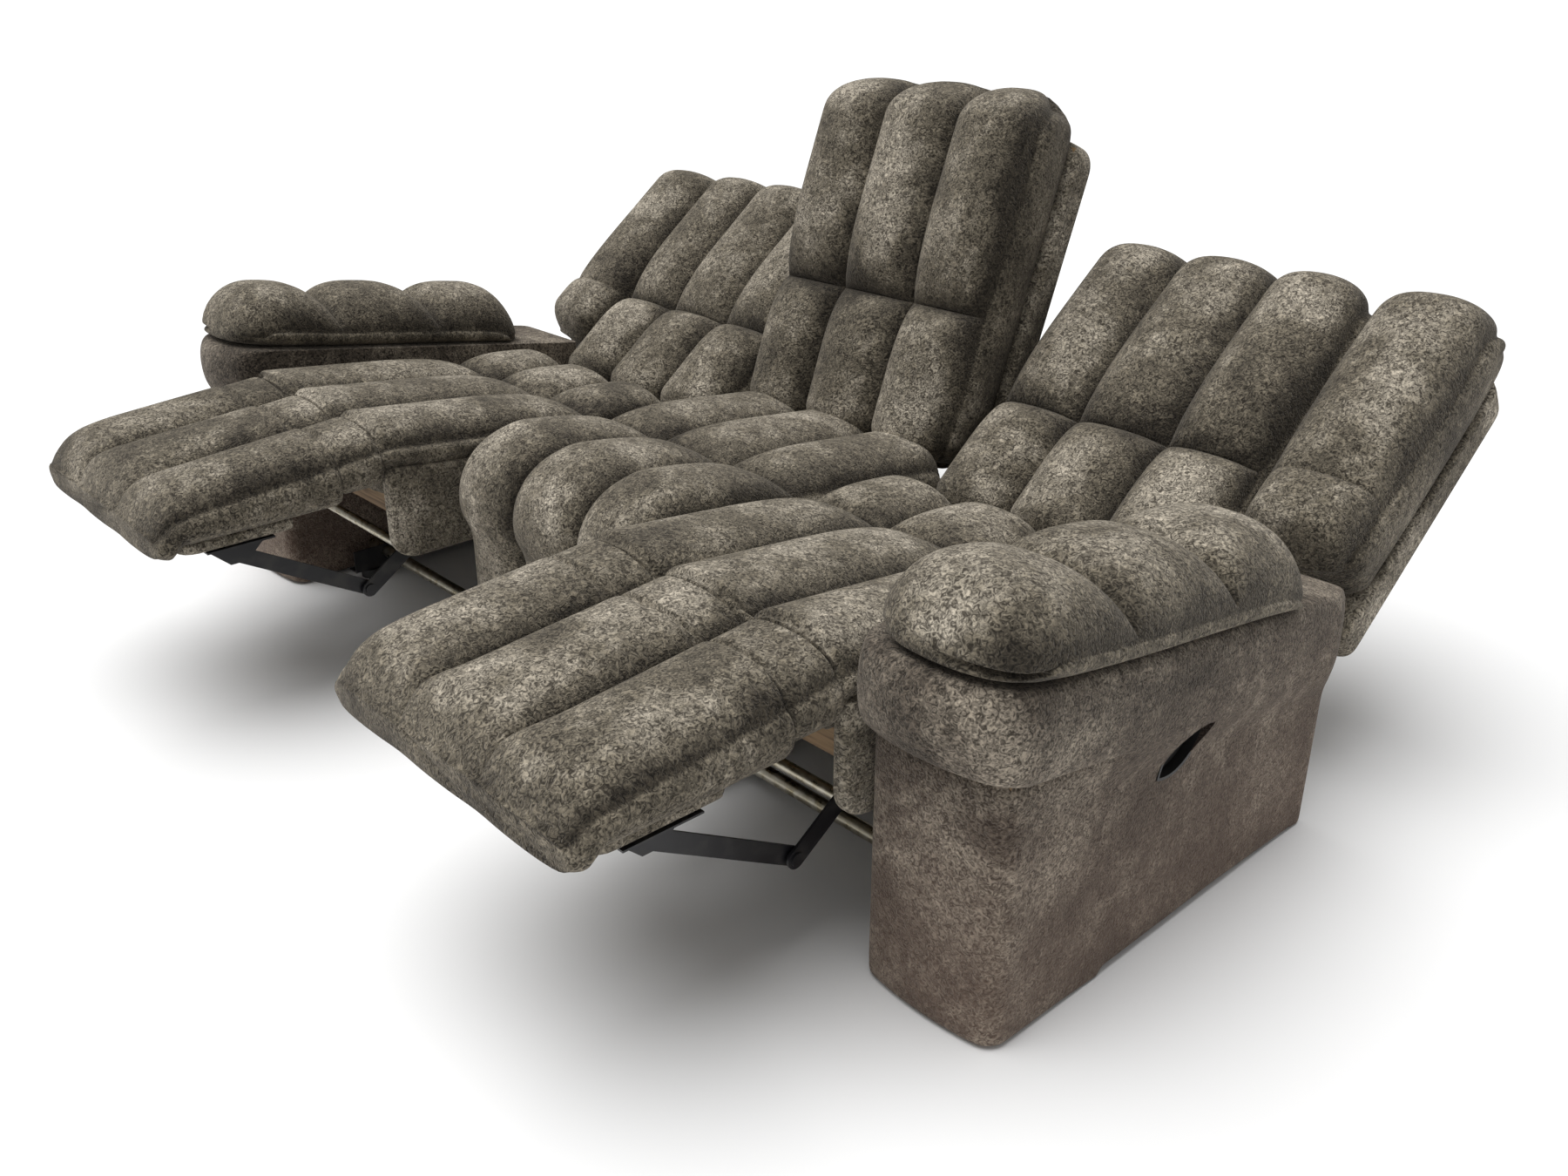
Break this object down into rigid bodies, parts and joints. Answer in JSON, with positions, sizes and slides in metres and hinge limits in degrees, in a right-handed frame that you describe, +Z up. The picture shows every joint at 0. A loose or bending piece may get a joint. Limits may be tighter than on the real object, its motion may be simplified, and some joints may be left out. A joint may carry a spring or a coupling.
{
  "type": "reclining sofa",
  "caption": "Motion sofa with channelled plush cushions: reclining outer seats with fold-out footrests on steel linkages, and a fixed centre seat.",
  "frame": {"origin": "on the floor, in the middle of the reclined sofa's width and depth", "axes": "+X to the sitter's left along the width, -Y to the front, +Z up"},
  "size_m": [2.248, 1.8024, 1.0402],
  "materials": {
    "plush": "crushed plush pile",
    "timber": "raw plywood and sawn timber",
    "black_steel": "black satin paint",
    "bright_steel": "zinc plated",
    "black_plastic": "fine moulded grain"
  },
  "bodies": {
    "base": {"feet": "black_plastic", "arm_bolts": "bright_steel", "centre_seat_frame": "timber", "centre_seat_springs": "bright_steel", "centre_seat_cushion": "plush", "centre_back_frame": "timber", "centre_back_cushion": "plush", "centre_back_panel": "plush", "centre_back_brackets": "black_steel", "arm_frame_right": "timber", "arm_cover_right": "plush", "arm_pad_right": "plush", "latch_cup_right": "black_plastic", "base_rails_right": "black_steel", "tie_tubes_right": "bright_steel", "arm_frame_left": "timber", "arm_cover_left": "plush", "arm_pad_left": "plush", "latch_cup_left": "black_plastic", "base_rails_left": "black_steel", "tie_tubes_left": "bright_steel"},
    "rear_lift_right": {"rear_lift_links_right": "black_steel"},
    "front_lift_right": {"front_lift_links_right": "black_steel"},
    "seat_right": {"seat_frame_right": "timber", "seat_panels_right": "plush", "seat_springs_right": "bright_steel", "seat_cushion_right": "plush", "seat_brackets_right": "black_steel", "footrest_flap_right": "plush"},
    "back_right": {"back_frame_right": "timber", "back_cushion_right": "plush", "back_panel_right": "plush", "back_brackets_right": "black_steel"},
    "footrest_right": {"footrest_board_right": "plush", "footrest_pad_right": "plush", "footrest_brackets_right": "black_steel"},
    "lower_links_right": {"lower_links_right": "black_steel", "stretcher_tube_right": "bright_steel"},
    "upper_links_right": {"upper_links_right": "black_steel"},
    "latch_right": {"latch_lever_right": "black_plastic"},
    "rear_lift_left": {"rear_lift_links_left": "black_steel"},
    "front_lift_left": {"front_lift_links_left": "black_steel"},
    "seat_left": {"seat_frame_left": "timber", "seat_panels_left": "plush", "seat_springs_left": "bright_steel", "seat_cushion_left": "plush", "seat_brackets_left": "black_steel", "footrest_flap_left": "plush"},
    "back_left": {"back_frame_left": "timber", "back_cushion_left": "plush", "back_panel_left": "plush", "back_brackets_left": "black_steel"},
    "footrest_left": {"footrest_board_left": "plush", "footrest_pad_left": "plush", "footrest_brackets_left": "black_steel"},
    "lower_links_left": {"lower_links_left": "black_steel", "stretcher_tube_left": "bright_steel"},
    "upper_links_left": {"upper_links_left": "black_steel"},
    "latch_left": {"latch_lever_left": "black_plastic"}
  },
  "joints": [
    {"name": "recline_right", "type": "hinge", "parent": "base", "child": "rear_lift_right", "pos_m": [0.5835, 0.106, 0.086], "axis": [-1, 0, 0], "range_deg": [0, 57.37]},
    {"name": "front_lift_right", "type": "hinge", "parent": "base", "child": "front_lift_right", "pos_m": [0.5835, -0.064, 0.086], "axis": [-1, 0, 0], "range_deg": [0, 57.37]},
    {"name": "seat_level_right", "type": "hinge", "parent": "rear_lift_right", "child": "seat_right", "pos_m": [0.5835, 0.046, 0.19566], "axis": [-1, 0, 0], "range_deg": [-57.37, 0]},
    {"name": "back_right", "type": "hinge", "parent": "seat_right", "child": "back_right", "pos_m": [0.5835, 0.166, 0.275], "axis": [1, 0, 0], "range_deg": [0, 31]},
    {"name": "footrest_right", "type": "hinge", "parent": "seat_right", "child": "footrest_right", "pos_m": [0.5835, -0.559, 0.442], "axis": [1, 0, 0], "range_deg": [0, 88], "deforming": ["footrest_flap_right"]},
    {"name": "lower_link_right", "type": "hinge", "parent": "seat_right", "child": "lower_links_right", "pos_m": [0.5835, -0.334, 0.32], "axis": [1, 0, 0], "range_deg": [0, 88.55]},
    {"name": "upper_link_right", "type": "hinge", "parent": "footrest_right", "child": "upper_links_right", "pos_m": [0.5835, -0.754, 0.325], "axis": [1, 0, 0], "range_deg": [-83.44, 0]},
    {"name": "latch_right", "type": "hinge", "parent": "base", "child": "latch_right", "pos_m": [1.085, -0.06176, 0.32354], "axis": [0, -0.4848, 0.8746], "range_deg": [0, 22], "stiffness_Nm_per_rad": 0.6, "springref_deg": -5.73},
    {"name": "recline_left", "type": "hinge", "parent": "base", "child": "rear_lift_left", "pos_m": [-0.5835, 0.106, 0.086], "axis": [-1, 0, 0], "range_deg": [0, 57.37]},
    {"name": "front_lift_left", "type": "hinge", "parent": "base", "child": "front_lift_left", "pos_m": [-0.5835, -0.064, 0.086], "axis": [-1, 0, 0], "range_deg": [0, 57.37]},
    {"name": "seat_level_left", "type": "hinge", "parent": "rear_lift_left", "child": "seat_left", "pos_m": [-0.5835, 0.046, 0.19566], "axis": [-1, 0, 0], "range_deg": [-57.37, 0]},
    {"name": "back_left", "type": "hinge", "parent": "seat_left", "child": "back_left", "pos_m": [-0.5835, 0.166, 0.275], "axis": [1, 0, 0], "range_deg": [0, 31]},
    {"name": "footrest_left", "type": "hinge", "parent": "seat_left", "child": "footrest_left", "pos_m": [-0.5835, -0.559, 0.442], "axis": [1, 0, 0], "range_deg": [0, 88], "deforming": ["footrest_flap_left"]},
    {"name": "lower_link_left", "type": "hinge", "parent": "seat_left", "child": "lower_links_left", "pos_m": [-0.5835, -0.334, 0.32], "axis": [1, 0, 0], "range_deg": [0, 88.55]},
    {"name": "upper_link_left", "type": "hinge", "parent": "footrest_left", "child": "upper_links_left", "pos_m": [-0.5835, -0.754, 0.325], "axis": [1, 0, 0], "range_deg": [-83.44, 0]},
    {"name": "latch_left", "type": "hinge", "parent": "base", "child": "latch_left", "pos_m": [-1.085, -0.06176, 0.32354], "axis": [0, 0.4848, -0.8746], "range_deg": [0, 22], "stiffness_Nm_per_rad": 0.6, "springref_deg": -5.73}
  ],
  "couplings": [
    {"joint": "front_lift_right", "follows": "recline_right", "ratio": 1},
    {"joint": "seat_level_right", "follows": "recline_right", "ratio": -1},
    {"joint": "back_right", "follows": "recline_right", "ratio": 0.54034},
    {"joint": "lower_link_right", "follows": "footrest_right", "ratio": 1.0062},
    {"joint": "upper_link_right", "follows": "footrest_right", "ratio": -0.94815},
    {"joint": "front_lift_left", "follows": "recline_left", "ratio": 1},
    {"joint": "seat_level_left", "follows": "recline_left", "ratio": -1},
    {"joint": "back_left", "follows": "recline_left", "ratio": 0.54034},
    {"joint": "lower_link_left", "follows": "footrest_left", "ratio": 1.0062},
    {"joint": "upper_link_left", "follows": "footrest_left", "ratio": -0.94815}
  ]
}
